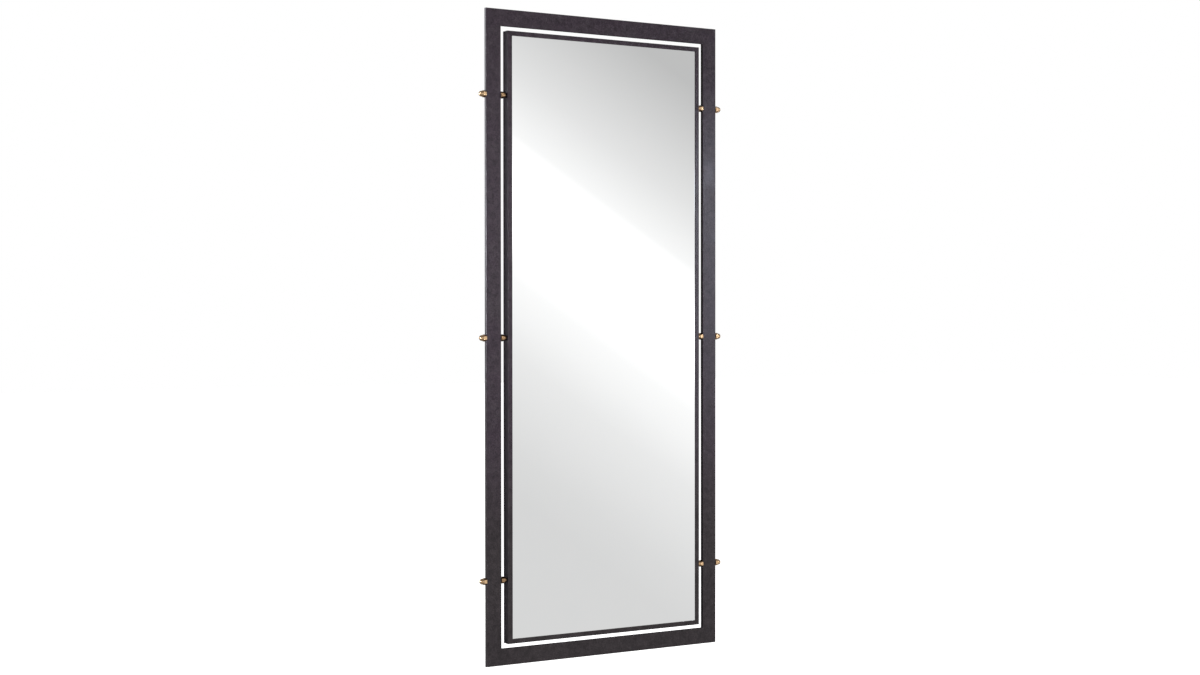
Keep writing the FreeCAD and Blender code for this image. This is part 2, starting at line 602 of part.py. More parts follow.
def make_bumper(label, direction, end):
    """A rubber bumper on the board, tapering to the face that meets the wall."""
    bumper = new_body(label)
    profile = new_sketch(bumper, "Profile", "XZ_Plane")
    height = f"(-{BOARD_BACK})"
    wall_end = "Sizes.bumper_diameter / 2 - Sizes.bumper_taper"
    draw_outline(profile, "half", [
        ("0", "0"),
        ("Sizes.bumper_diameter / 2", "0"),
        (wall_end, f"{height} - Sizes.bumper_bevel"),
        (f"{wall_end} - Sizes.bumper_bevel", height),
        ("0", height),
    ])
    turn(bumper, "Revolution", profile, "Moulded")
    place(bumper, x=f"{direction} * ({BOARD_WIDTH} / 2 - Sizes.bumper_inset)", y=BOARD_BACK,
          z=f"{end} * ({BOARD_HEIGHT} / 2 - Sizes.bumper_inset)", axis=Vector(1, 0, 0), angle=-90)


def build_model():
    """Make every sub-part from the sheet, in the order of assembly."""
    fill_sheet()
    make_frame("outer", outer_member, "Sizes.frame_width", "Sizes.frame_height", OUTER_FRONT,
               "Sizes.member_thickness / 2")
    make_frame("inner", inner_member, INNER_WIDTH, INNER_HEIGHT, INNER_FRONT,
               f"{ROD_DEPTH} - {INNER_FRONT}")
    make_glass()
    make_setting_blocks()
    make_backing_sheet()
    make_board()
    for side, direction in SIDES:
        for level, share in LEVELS:
            make_insert(f"{side}_{level}_rod_insert", direction, share)
            make_tie_rod(f"{side}_{level}_tie_rod", direction, share)
            make_spacer(f"{side}_{level}_spacer", direction, share)
            make_cap_nut(f"{side}_{level}_cap_nut", direction, share)
        make_strap(side, direction)
        make_ring(side, direction)
        for number in range(SCREWS_PER_STRAP):
            make_screw(f"{side}_hanger_screw_{number + 1}", direction, number)
        for end, up in ENDS:
            make_bumper(f"{side}_{end}_bumper", direction, up)
    doc.recompute()


def check_model():
    """Stop if any feature failed or any sub-part isn't one sound solid."""
    for item in doc.Objects:
        if "Invalid" in item.State or "Error" in item.State:
            raise RuntimeError(f"{item.Label} failed: {item.State}")
    for part in sub_parts:
        if part.Shape.isNull() or not part.Shape.isValid() or len(part.Shape.Solids) != 1:
            raise RuntimeError(f"{part.Label} isn't one sound solid")


def write_parts():
    """Write each sub-part to its own STEP file, named after it."""
    os.makedirs("parts", exist_ok=True)
    for part in sub_parts:
        part.Shape.exportStep(os.path.join("parts", f"{part.Label}.step"))


build_model()
check_model()
write_parts()
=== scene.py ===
import math

import bmesh
import bpy
from mathutils import Matrix, Vector


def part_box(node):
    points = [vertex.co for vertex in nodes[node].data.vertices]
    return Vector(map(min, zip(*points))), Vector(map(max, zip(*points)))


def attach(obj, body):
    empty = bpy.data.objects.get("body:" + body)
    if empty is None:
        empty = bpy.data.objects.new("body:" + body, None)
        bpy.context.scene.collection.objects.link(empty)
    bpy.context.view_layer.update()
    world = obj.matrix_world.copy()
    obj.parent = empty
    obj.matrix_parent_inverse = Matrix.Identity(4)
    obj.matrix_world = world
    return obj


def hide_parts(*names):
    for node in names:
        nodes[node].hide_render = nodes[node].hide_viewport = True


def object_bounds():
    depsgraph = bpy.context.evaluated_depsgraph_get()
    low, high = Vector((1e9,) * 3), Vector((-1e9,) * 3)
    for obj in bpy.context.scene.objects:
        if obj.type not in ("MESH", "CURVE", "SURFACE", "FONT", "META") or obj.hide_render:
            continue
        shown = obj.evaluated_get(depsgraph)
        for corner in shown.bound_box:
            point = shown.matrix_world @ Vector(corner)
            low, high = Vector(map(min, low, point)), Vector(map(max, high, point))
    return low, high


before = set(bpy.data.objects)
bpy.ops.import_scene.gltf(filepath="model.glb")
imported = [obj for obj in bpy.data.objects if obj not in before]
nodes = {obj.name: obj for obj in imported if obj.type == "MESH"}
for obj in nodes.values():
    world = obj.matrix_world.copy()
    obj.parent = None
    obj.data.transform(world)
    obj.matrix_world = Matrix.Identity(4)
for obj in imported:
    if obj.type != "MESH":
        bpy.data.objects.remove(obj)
cad_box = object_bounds()

# Where the photograph was taken from: 6.1 m off, to the mirror's left, with the lens level with a point
# just above the mirror's middle. Places are in metres, the lens and its sensor in millimetres.
CAMERA_SPOT = (-3.2777, -5.2358, 0.0684)
CAMERA_AHEAD = (0.52997, 0.84794, -0.01132)
CAMERA_UP = (0.00664, 0.00919, 0.99994)
CAMERA_LENS = 57.78
CAMERA_SENSOR = 36.0
CAMERA_NEAR, CAMERA_FAR = 0.01, 100.0

# Directions: the glass faces the front
FRONTWARDS = (0.0, -1.0, 0.0)
BACKWARDS = (0.0, 1.0, 0.0)
UPWARDS = (0.0, 0.0, 1.0)

# A vector's parts, and a box's corners
X, Y, Z = 0, 1, 2
LOW, HIGH = 0, 1

# The range of a share or a mask, and the narrower ones that hold most of a noise's values
WHOLE = (0.0, 1.0)
MOST = (0.2, 0.8)
MIDDLE = (0.3, 0.7)


# Node trees

# How far apart nodes are laid out, and the kinds of socket that a shader group has
NODE_PITCH = 190
NUMBER, VECTOR = "NodeSocketFloat", "NodeSocketVector"
# Where a Mix node has its share, its two values and its result, for colours and for numbers
MIX_SOCKETS = {"RGBA": (0, 6, 7, 2), "FLOAT": (0, 2, 3, 0)}
# Where a Random Value node has its highest number and its result
RANDOM_HIGHEST, RANDOM_RESULT = 3, 1


def opaque(colour):
    """A plain colour with its alpha. What a node puts out is passed on as it is."""
    return colour + (1.0,) if isinstance(colour, tuple) else colour


class Tree:
    """A node tree under construction, with short ways to add and join its nodes."""

    def __init__(self, tree):
        self.tree = tree
        self.column = 0

    def add(self, kind, **settings):
        """Add a node, laid out to the right of the last one."""
        node = self.tree.nodes.new(kind)
        node.location = (self.column * NODE_PITCH, 0)
        self.column += 1
        for name, value in settings.items():
            setattr(node, name, value)
        return node

    def join(self, source, target):
        """Lead an output to an input."""
        self.tree.links.new(source, target)

    def put(self, target, value):
        """Give an input a value, or lead an output to it."""
        if isinstance(value, bpy.types.NodeSocket):
            self.join(value, target)
        else:
            target.default_value = value

    def sum(self, operation, *values):
        """The result of a Math node."""
        node = self.add("ShaderNodeMath", operation=operation)
        for target, value in zip(node.inputs, values):
            self.put(target, value)
        return node.outputs[0]

    def times(self, first, second):
        """The product of two numbers."""
        return self.sum("MULTIPLY", first, second)

    def dot(self, first, second):
        """How far one vector points along another."""
        node = self.add("ShaderNodeVectorMath", operation="DOT_PRODUCT")
        self.put(node.inputs[0], first)
        self.put(node.inputs[1], second)
        return node.outputs["Value"]

    def scaled(self, vector, scale):
        """A vector or a colour, each of its parts times a number of its own or all times the same one."""
        node = self.add("ShaderNodeVectorMath", operation="MULTIPLY")
        self.put(node.inputs[0], vector)
        self.put(node.inputs[1], scale)
        return node.outputs["Vector"]

    def parts(self, vector):
        """A vector's three numbers."""
        node = self.add("ShaderNodeSeparateXYZ")
        self.join(vector, node.inputs[0])
        return node.outputs

    def vector(self, **parts):
        """A vector made of its X, Y and Z. One that isn't given is zero."""
        node = self.add("ShaderNodeCombineXYZ")
        for axis, value in parts.items():
            self.put(node.inputs[axis], value)
        return node.outputs[0]

    def span(self, value, given, wanted=WHOLE, smooth=False):
        """Carry a value from one range to another, held at the ends."""
        node = self.add("ShaderNodeMapRange", interpolation_type="SMOOTHSTEP" if smooth else "LINEAR")
        names = ("Value", "From Min", "From Max", "To Min", "To Max")
        for name, amount in zip(names, (value, *given, *wanted)):
            self.put(node.inputs[name], amount)
        return node.outputs["Result"]

    def noise(self, vector, scale, detail=2.0, roughness=0.5, distortion=0.0):
        """Cloudy noise from 0 to 1."""
        node = self.add("ShaderNodeTexNoise")
        for name, amount in (("Vector", vector), ("Scale", scale), ("Detail", detail),
                             ("Roughness", roughness), ("Distortion", distortion)):
            self.put(node.inputs[name], amount)
        return node.outputs["Fac"]

    def mixed(self, kind, *values):
        """The result of a Mix node, from a share and two values of the same kind."""
        node = self.add("ShaderNodeMix", data_type=kind)
        *places, result = MIX_SOCKETS[kind]
        for place, value in zip(places, values):
            self.put(node.inputs[place], value)
        return node.outputs[result]

    def blend(self, share, first, second):
        """A mix of two colours."""
        return self.mixed("RGBA", share, opaque(first), opaque(second))

    def mix(self, share, first, second):
        """A mix of two numbers."""
        return self.mixed("FLOAT", share, first, second)

    def ramp(self, value, stops):
        """Greys through pairs of a share and a level."""
        node = self.add("ShaderNodeValToRGB")
        band = node.color_ramp
        while len(band.elements) < len(stops):
            band.elements.new(1.0)
        for element, (share, level) in zip(band.elements, stops):
            element.position = share
            element.color = opaque((level,) * 3)
        self.put(node.inputs["Fac"], value)
        return node.outputs["Color"]

    def bump(self, height, strength, distance, normal=None):
        """A bumped normal."""
        node = self.add("ShaderNodeBump")
        self.put(node.inputs["Height"], height)
        node.inputs["Strength"].default_value = strength
        node.inputs["Distance"].default_value = distance
        if normal is not None:
            self.join(normal, node.inputs["Normal"])
        return node.outputs["Normal"]

    def group(self, group, **values):
        """Place a shared group and give its inputs their values. An underscore stands for a space."""
        node = self.add("ShaderNodeGroup")
        node.node_tree = group
        for name, value in values.items():
            self.put(node.inputs[name.replace("_", " ")], value)
        return node.outputs

    def own_place(self):
        """The piece's own coordinates, in metres of the whole mirror."""
        return self.add("ShaderNodeTexCoord").outputs["Object"]

    def own_normal(self):
        """The way that the piece's surface faces, in the same coordinates."""
        return self.add("ShaderNodeTexCoord").outputs["Normal"]


def new_group(name, inputs, outputs, kind="ShaderNodeTree"):
    """An empty group with named inputs and outputs of the given kinds, and the sockets inside it."""
    group = bpy.data.node_groups.new(name, kind)
    for way, sockets in (("INPUT", inputs), ("OUTPUT", outputs)):
        for label, socket in sockets.items():
            group.interface.new_socket(label, in_out=way, socket_type=socket)
    tree = Tree(group)
    return group, tree, tree.add("NodeGroupInput").outputs, tree.add("NodeGroupOutput").inputs


def new_material(name):
    """A material with a Principled shader, ready for its inputs."""
    material = bpy.data.materials.new(name)
    material.use_nodes = True
    shader = material.node_tree.nodes["Principled BSDF"]
    return material, Tree(material.node_tree), shader.inputs


# Effects that several finishes share

def cloudy_patches():
    """Soft patches of two sizes and a fine speckle, as oxide, wax and paint show them."""
    small_to_wide = 3.7
    wide_share, small_share = 0.65, 0.35
    contrast = (0.34, 0.66)
    group, tree, inside, result = new_group(
        "cloudy_patches", {"Patches Per Metre": NUMBER, "Speckle Per Metre": NUMBER},
        {"Patches": NUMBER, "Speckle": NUMBER})
    place = tree.own_place()
    wide = tree.noise(place, inside["Patches Per Metre"], detail=3.0, roughness=0.55, distortion=0.4)
    closer = tree.times(inside["Patches Per Metre"], small_to_wide)
    small = tree.noise(place, closer, detail=4.0, roughness=0.6)
    both = tree.sum("ADD", tree.times(wide, wide_share), tree.times(small, small_share))
    tree.join(tree.span(both, contrast), result["Patches"])
    tree.join(tree.noise(place, inside["Speckle Per Metre"], detail=2.0), result["Speckle"])
    return group


def worn_edges():
    """Where the edges of a piece are rubbed: a mask found by rounding them over a small radius."""
    rounding_samples = 6
    turned_away = (0.99, 0.86)
    broken = (0.38, 0.6)
    group, tree, inside, result = new_group(
        "worn_edges", {"Radius": NUMBER, "Breaks Per Metre": NUMBER}, {"Worn": NUMBER, "Rounded": VECTOR})
    bevel = tree.add("ShaderNodeBevel", samples=rounding_samples)
    tree.join(inside["Radius"], bevel.inputs["Radius"])
    rounded = bevel.outputs["Normal"]
    flat = tree.add("ShaderNodeNewGeometry").outputs["Normal"]
    edge = tree.span(tree.dot(rounded, flat), turned_away)
    breaks = tree.noise(tree.own_place(), inside["Breaks Per Metre"], detail=3.0)
    tree.join(tree.times(edge, tree.span(breaks, broken)), result["Worn"])
    tree.join(rounded, result["Rounded"])
    return group


def rubbed_arrises():
    """Where a square member's eased edges are rubbed. Its faces lie square, so what slants is an edge."""
    slanting = (0.995, 0.9)
    broken = (0.35, 0.65)
    group, tree, inside, result = new_group(
        "rubbed_arrises", {"Breaks Per Metre": NUMBER}, {"Worn": NUMBER})
    size = tree.add("ShaderNodeVectorMath", operation="ABSOLUTE")
    tree.join(tree.own_normal(), size.inputs[0])
    parts = tree.parts(size.outputs["Vector"])
    largest = tree.sum("MAXIMUM", parts[Z], tree.sum("MAXIMUM", parts[X], parts[Y]))
    breaks = tree.noise(tree.own_place(), inside["Breaks Per Metre"], detail=4.0, roughness=0.65)
    tree.join(tree.times(tree.span(largest, slanting), tree.span(breaks, broken)), result["Worn"])
    return group


def hairlines():
    """Fine lines drawn out along one axis, as brushing, turning and wiping leave them. Each axis has its
    own number of them in a metre."""
    group, tree, inside, result = new_group("hairlines", {"Lines": VECTOR}, {"Lines": NUMBER})
    drawn = tree.scaled(tree.own_place(), inside["Lines"])
    tree.join(tree.noise(drawn, 1.0, detail=3.0, roughness=0.7), result["Lines"])
    return group


PATCHES = cloudy_patches()
WORN = worn_edges()
ARRISES = rubbed_arrises()
HAIRLINES = hairlines()


# Finishes

# Heights between which the steel's purple gives way to a painted shade of darker brown towards the foot,
# where the light falls off
FOOT_SHADE_HEIGHTS = (-0.28, -0.68)

# How near a face lies to a side of the open gap, and how squarely it looks across it, to be part of
# that side, which gets painted shade
GAP_REACH = 0.004
GAP_SQUARE = (0.94, 0.99)
# How much painted shade the inner frame's side of the gap gets, at its front and at the wall
INNER_GAP_SHADE = (0.56, 0.94)

# The middle of the gap at the left, and how far from it the brass starts and ends to be painted darker, as
# shade in the gap
LEFT_GAP = (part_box("outer_left_stile")[HIGH].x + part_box("inner_left_stile")[LOW].x) / 2
LEFT_GAP_SHADE_REACH = (0.017, 0.010)


def gap_painted_shade(tree):
    """How much painted shade the steel gets in the gap between the frames: all over the outer frame's
    side, and on the inner frame's more and more from its front to the wall."""
    spot, facing = tree.parts(tree.own_place()), tree.parts(tree.own_normal())
    outer_stile, inner_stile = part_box("outer_right_stile"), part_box("inner_right_stile")
    outer_rail, inner_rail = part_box("outer_top_rail"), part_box("inner_top_rail")
    gap_shades = []
    for beside, above in ((outer_stile[LOW].x, outer_rail[LOW].z),
                          (inner_stile[HIGH].x, inner_rail[HIGH].z)):
        sides = []
        for axis, place in ((X, beside), (Z, above)):
            away = tree.sum("SUBTRACT", tree.sum("ABSOLUTE", spot[axis]), place)
            near = tree.sum("LESS_THAN", tree.sum("ABSOLUTE", away), GAP_REACH)
            square = tree.span(tree.sum("ABSOLUTE", facing[axis]), GAP_SQUARE)
            sides.append(tree.times(near, square))
        gap_shades.append(tree.sum("MAXIMUM", *sides))
    depth = tree.span(spot[Y], (inner_stile[LOW].y, inner_stile[HIGH].y), INNER_GAP_SHADE)
    return tree.sum("MAXIMUM", gap_shades[0], tree.times(gap_shades[1], depth))


def blackened_steel():
    """Steel blackened and waxed: purple and a greyer purple in soft patches, mottled all over, and paler
    where the edges are rubbed. Towards the foot it is painted darker and browner, as shade where the light
    falls off, and the sides of the gap between the frames get a painted shade, nearly black and dull."""
    purple, grey, brown = (0.0468, 0.0316, 0.0462), (0.0430, 0.0328, 0.0410), (0.0365, 0.0302, 0.0318)
    bare, black = (0.10, 0.091, 0.097), (0.0030, 0.0013, 0.0030)
    foot_shade_share, bare_share, gap_shade_share = 0.8, 0.5, 0.97
    patch_change, speckle_change, mottle_change, grain_change = 0.10, 0.18, 0.30, 0.28
    waxed_roughness, rubbing_polish, shade_roughness = (0.12, 0.20), 0.04, 0.65
    waxed_to_shaded_gloss = (0.22, 0.0)
    speckle_relief, line_relief = 0.7, 0.5
    material, tree, shader = new_material("blackened_steel")
    patches = tree.group(PATCHES, Patches_Per_Metre=13.0, Speckle_Per_Metre=700.0)
    mottle = tree.group(PATCHES, Patches_Per_Metre=48.0, Speckle_Per_Metre=320.0)
    lines = tree.group(HAIRLINES, Lines=(90.0, 90.0, 12.0))
    worn = tree.group(ARRISES, Breaks_Per_Metre=45.0)["Worn"]
    gap_shade = gap_painted_shade(tree)
    ground = tree.blend(patches["Patches"], purple, grey)
    height = tree.parts(tree.own_place())[Z]
    # Painted shade: the steel goes darker and browner towards the foot
    foot = tree.span(height, FOOT_SHADE_HEIGHTS, (0.0, foot_shade_share), smooth=True)
    ground = tree.blend(foot, ground, brown)
    for share, given, change in ((patches["Patches"], WHOLE, patch_change),
                                 (patches["Speckle"], MIDDLE, speckle_change),
                                 (mottle["Patches"], WHOLE, mottle_change),
                                 (mottle["Speckle"], MIDDLE, grain_change)):
        ground = tree.scaled(ground, tree.span(share, given, (1.0 - change, 1.0 + change)))
    colour = tree.blend(tree.times(worn, bare_share), ground, bare)
    # Painted shade in the gap between the frames: its sides go nearly black here, and below they go dull
    # and lose their gloss
    tree.join(tree.blend(tree.times(gap_shade, gap_shade_share), colour, black), shader["Base Color"])
    cloud = tree.span(patches["Patches"], WHOLE, waxed_roughness)
    shine = tree.sum("SUBTRACT", cloud, tree.times(worn, rubbing_polish))
    tree.join(tree.mix(gap_shade, shine, shade_roughness), shader["Roughness"])
    tree.join(tree.span(gap_shade, WHOLE, waxed_to_shaded_gloss), shader["Specular IOR Level"])
    relief = tree.sum("ADD", tree.times(patches["Speckle"], speckle_relief),
                      tree.times(lines["Lines"], line_relief))
    tree.join(tree.bump(relief, strength=0.12, distance=0.0001), shader["Normal"])
    return material


def aged_brass():
    """Turned brass, lacquered and gone warm, with dark specks, paler where its edges are rubbed. What
    stands in the gap at the left gets painted shade, darkest in the gap's middle."""
    red_brass, yellow_brass = (0.62, 0.385, 0.195), (0.88, 0.62, 0.37)
    speck, shaded_brass, bare = (0.24, 0.135, 0.065), (0.19, 0.095, 0.04), (0.90, 0.74, 0.50)
    speck_crest, speck_share = (0.60, 0.74), 0.5
    brass_shade_share, bare_share = 0.62, 0.6
    roughness, line_roughness = (0.32, 0.20), 0.06
    material, tree, shader = new_material("aged_brass")
    patches = tree.group(PATCHES, Patches_Per_Metre=150.0, Speckle_Per_Metre=2500.0)
    lines = tree.group(HAIRLINES, Lines=(4200.0, 160.0, 160.0))
    edges = tree.group(WORN, Radius=0.0007, Breaks_Per_Metre=240.0)
    ground = tree.blend(patches["Patches"], red_brass, yellow_brass)
    ground = tree.blend(tree.span(patches["Speckle"], speck_crest, (0.0, speck_share)), ground, speck)
    # Painted shade on the brass that stands in the gap at the left
    across = tree.parts(tree.own_place())[X]
    away = tree.sum("ABSOLUTE", tree.sum("SUBTRACT", across, LEFT_GAP))
    ground = tree.blend(tree.span(away, LEFT_GAP_SHADE_REACH, (0.0, brass_shade_share)), ground, shaded_brass)
    tree.join(tree.blend(tree.times(edges["Worn"], bare_share), ground, bare), shader["Base Color"])
    dull = tree.span(patches["Patches"], WHOLE, roughness)
    tree.join(tree.sum("ADD", dull, tree.times(lines["Lines"], line_roughness)), shader["Roughness"])
    turned = tree.bump(lines["Lines"], strength=0.16, distance=0.00005, normal=edges["Rounded"])
    tree.join(turned, shader["Normal"])
    shader["Metallic"].default_value = 1.0
    return material


def silvered_glass():
    """Mirror glass: silver seen from the front, green at its ground edges and painted grey behind."""
    silver, pale_silver = (0.925, 0.932, 0.930), (0.932, 0.936, 0.935)
    green, pale_green = (0.16, 0.33, 0.27), (0.24, 0.44, 0.37)
    paint, pale_paint = (0.17, 0.18, 0.185), (0.205, 0.215, 0.22)
    square = (0.9, 0.95)
    wiped_patches, wiped_roughness, ground_roughness = (0.55, 0.9), 0.012, 0.45
    material, tree, shader = new_material("silvered_glass")
    normal = tree.own_normal()
    front = tree.span(tree.dot(normal, FRONTWARDS), square)
    back = tree.span(tree.dot(normal, BACKWARDS), square)
    patches = tree.group(PATCHES, Patches_Per_Metre=9.0, Speckle_Per_Metre=1500.0)
    edge = tree.blend(patches["Speckle"], green, pale_green)
    colour = tree.blend(back, edge, tree.blend(patches["Patches"], paint, pale_paint))
    colour = tree.blend(front, colour, tree.blend(patches["Patches"], silver, pale_silver))
    tree.join(colour, shader["Base Color"])
    tree.join(front, shader["Metallic"])
    wiped = tree.times(tree.span(patches["Patches"], wiped_patches), wiped_roughness)
    tree.join(tree.mix(front, ground_roughness, wiped), shader["Roughness"])
    return material


def zinc_plate():
    """Zinc-plated steel, faintly streaked, with paler rubbed edges."""
    grey, pale, bare = (0.47, 0.48, 0.49), (0.63, 0.63, 0.62), (0.78, 0.78, 0.77)
    bare_share = 0.5
    roughness = (0.28, 0.44)
    material, tree, shader = new_material("zinc_plate")
    patches = tree.group(PATCHES, Patches_Per_Metre=110.0, Speckle_Per_Metre=1800.0)
    lines = tree.group(HAIRLINES, Lines=(2600.0, 300.0, 120.0))
    edges = tree.group(WORN, Radius=0.0004, Breaks_Per_Metre=300.0)
    ground = tree.blend(patches["Patches"], grey, pale)
    tree.join(tree.blend(tree.times(edges["Worn"], bare_share), ground, bare), shader["Base Color"])
    tree.join(tree.span(lines["Lines"], MIDDLE, roughness), shader["Roughness"])
    streaked = tree.bump(lines["Lines"], strength=0.2, distance=0.00004, normal=edges["Rounded"])
    tree.join(streaked, shader["Normal"])
    shader["Metallic"].default_value = 1.0
    return material


def fibreboard():
    """Raw fibreboard: fine matted fibres, a little lighter and darker in patches, with dark flecks."""
    brown, tan = (0.335, 0.215, 0.120), (0.400, 0.268, 0.158)
    pale_fibre, fleck = (0.56, 0.41, 0.27), (0.15, 0.085, 0.045)
    fibre_crest, fibre_share = (0.52, 0.78), 0.6
    fleck_crest, fleck_share = (0.64, 0.76), 0.55
    fibre_range, roughness = (0.3, 0.8), (0.9, 0.74)
    fibres_across, fibres_along = (1500.0, 1500.0, 220.0), (220.0, 1500.0, 1500.0)
    material, tree, shader = new_material("fibreboard")
    patches = tree.group(PATCHES, Patches_Per_Metre=7.0, Speckle_Per_Metre=1100.0)
    place = tree.own_place()
    fibres = tree.sum("MAXIMUM", *(tree.noise(tree.scaled(place, run), 1.0, detail=3.0, roughness=0.7)
                                   for run in (fibres_across, fibres_along)))
    ground = tree.blend(patches["Patches"], brown, tan)
    light = tree.blend(tree.span(fibres, fibre_crest, (0.0, fibre_share)), ground, pale_fibre)
    flecks = tree.span(patches["Speckle"], fleck_crest, (0.0, fleck_share))
    tree.join(tree.blend(flecks, light, fleck), shader["Base Color"])
    tree.join(tree.span(fibres, fibre_range, roughness), shader["Roughness"])
    tree.join(tree.bump(fibres, strength=0.35, distance=0.00015), shader["Normal"])
    return material


def felt_sheet():
    """Grey felt: tangled hairs, the upper ones pale."""
    grey, light_grey, pale_hair = (0.15, 0.15, 0.155), (0.22, 0.22, 0.225), (0.36, 0.36, 0.37)
    hair_crest, hair_share = (0.4, 0.7), 0.5
    roughness = (0.88, 0.98)
    material, tree, shader = new_material("felt_sheet")
    patches = tree.group(PATCHES, Patches_Per_Metre=20.0, Speckle_Per_Metre=1600.0)
    hairs = tree.group(HAIRLINES, Lines=(1400.0, 900.0, 1100.0))
    ground = tree.blend(patches["Patches"], grey, light_grey)
    share = tree.span(hairs["Lines"], hair_crest, (0.0, hair_share))
    tree.join(tree.blend(share, ground, pale_hair), shader["Base Color"])
    tree.join(tree.span(patches["Speckle"], MOST, roughness), shader["Roughness"])
    tree.join(tree.bump(hairs["Lines"], strength=0.5, distance=0.0003), shader["Normal"])
    return material


def soft_black(name, cells_per_metre, depth, dark, light):
    """A matt black rubber or foam, with its moulded skin or cells, between two levels of grey."""
    roughness = (0.62, 0.82)
    material, tree, shader = new_material(name)
    patches = tree.group(PATCHES, Patches_Per_Metre=60.0, Speckle_Per_Metre=cells_per_metre)
    tree.join(tree.blend(patches["Patches"], (dark,) * 3, (light,) * 3), shader["Base Color"])
    tree.join(tree.span(patches["Speckle"], MOST, roughness), shader["Roughness"])
    tree.join(tree.bump(patches["Speckle"], strength=0.35, distance=depth), shader["Normal"])
    return material


STEEL = blackened_steel()
BRASS = aged_brass()
GLASS = silvered_glass()
ZINC = zinc_plate()
BOARD = fibreboard()
FELT = felt_sheet()
FOAM = soft_black("foam_tape", cells_per_metre=1500.0, depth=0.0003, dark=0.016, light=0.03)
RUBBER = soft_black("bumper_rubber", cells_per_metre=3200.0, depth=0.00008, dark=0.024, light=0.04)


def finish_for(name):
    """The finish of a sub-part, told from its name."""
    if name.startswith(("outer_", "inner_")):
        return STEEL
    if name.endswith(("tie_rod", "cap_nut", "spacer", "rod_insert")):
        return BRASS
    if "hanger" in name:
        return ZINC
    if name.endswith(("bumper", "setting_block")):
        return RUBBER
    return {"mirror_glass": GLASS, "glazing_tape": FOAM, "backing_sheet": FELT, "back_board": BOARD}[name]


def dress_sub_parts():
    """Give every sub-part of the construction its finish."""
    for name, piece in nodes.items():
        piece.data.materials.clear()
        piece.data.materials.append(finish_for(name))


# Pan-head screws with a cross recess, three in each strap

HANGER_SIDES = ("left", "right")
SCREWS_PER_STRAP = 3
SCREW_SEED = 19
SHANK_RADIUS = 0.002
SHANK_LENGTH = 0.012
POINT_LENGTH = 0.003
HEAD_RADIUS = 0.004
HEAD_HEIGHT = 0.0026
HEAD_STEPS = 40
CROWN_STEPS = 6
# The head's upright rim as a share of its height, and its flat top as a share of its radius
RIM_SHARE = 0.42
FLAT_SHARE = 0.62
RECESS_REACH = 0.0022
RECESS_WIDTH = 0.0009
RECESS_DEPTH = 0.0016
# The punch's height as a share of the head's, and its two ends as shares of the recess
PUNCH_HEIGHT_SHARE = 1.2
PUNCH_TOP_SHARE = 1.08
PUNCH_POINT_SHARE = 0.45


def finish_mesh(mesh, name):
    """Make an object of a bmesh and free it."""
    data = bpy.data.meshes.new(name)
    mesh.to_mesh(data)
    mesh.free()
    piece = bpy.data.objects.new(name, data)
    bpy.context.scene.collection.objects.link(piece)
    return piece


def plain_copy(piece, name):
    """A new object that holds a piece's mesh with its modifiers applied. The old piece is removed."""
    bpy.context.view_layer.update()
    seen = piece.evaluated_get(bpy.context.evaluated_depsgraph_get())
    data = bpy.data.meshes.new_from_object(seen)
    data.name = name
    bpy.data.objects.remove(piece)
    copy = bpy.data.objects.new(name, data)
    bpy.context.scene.collection.objects.link(copy)
    return copy


def screw_body():
    """One screw about its own axis, z up out of the head, its seat at z = 0."""
    outline = [(0.0, -SHANK_LENGTH), (SHANK_RADIUS, POINT_LENGTH - SHANK_LENGTH), (SHANK_RADIUS, 0.0),
               (HEAD_RADIUS, 0.0), (HEAD_RADIUS, HEAD_HEIGHT * RIM_SHARE)]
    for step in range(1, CROWN_STEPS):
        angle = step / CROWN_STEPS * math.pi / 2
        outline.append((HEAD_RADIUS * (FLAT_SHARE + (1 - FLAT_SHARE) * math.cos(angle)),
                        HEAD_HEIGHT * (RIM_SHARE + (1 - RIM_SHARE) * math.sin(angle))))
    outline += [(HEAD_RADIUS * FLAT_SHARE, HEAD_HEIGHT), (0.0, HEAD_HEIGHT)]
    mesh = bmesh.new()
    turns = [math.tau * step / HEAD_STEPS for step in range(HEAD_STEPS)]
    rings = []
    for radius, height in outline:
        if radius == 0.0:
            rings.append([mesh.verts.new((0.0, 0.0, height))])
        else:
            rings.append([mesh.verts.new((radius * math.cos(turn), radius * math.sin(turn), height))
                          for turn in turns])
    for low, high in zip(rings, rings[1:]):
        for step in range(HEAD_STEPS):
            after = (step + 1) % HEAD_STEPS
            if len(low) == 1:
                mesh.faces.new((low[0], high[after], high[step]))
            elif len(high) == 1:
                mesh.faces.new((low[step], low[after], high[0]))
            else:
                mesh.faces.new((low[step], low[after], high[after], high[step]))
    bmesh.ops.recalc_face_normals(mesh, faces=mesh.faces)
    return finish_mesh(mesh, "screw_blank")


def cross_punch():
    """The tool that leaves the cross recess: four arms that narrow as they go down."""
    reach, half = RECESS_REACH, RECESS_WIDTH / 2
    corners = [(reach, -half), (reach, half), (half, half), (half, reach),
               (-half, reach), (-half, half), (-reach, half), (-reach, -half),
               (-half, -half), (-half, -reach), (half, -reach), (half, -half)]
    mesh = bmesh.new()
    top, bottom = ([mesh.verts.new((x * share, y * share, height)) for x, y in corners]
                   for share, height in ((PUNCH_TOP_SHARE, HEAD_HEIGHT * PUNCH_HEIGHT_SHARE),
                                         (PUNCH_POINT_SHARE, HEAD_HEIGHT - RECESS_DEPTH)))
    mesh.faces.new(top)
    mesh.faces.new(bottom[::-1])
    for step in range(len(corners)):
        after = (step + 1) % len(corners)
        mesh.faces.new((bottom[step], bottom[after], top[after], top[step]))
    bmesh.ops.recalc_face_normals(mesh, faces=mesh.faces)
    return finish_mesh(mesh, "cross_punch")


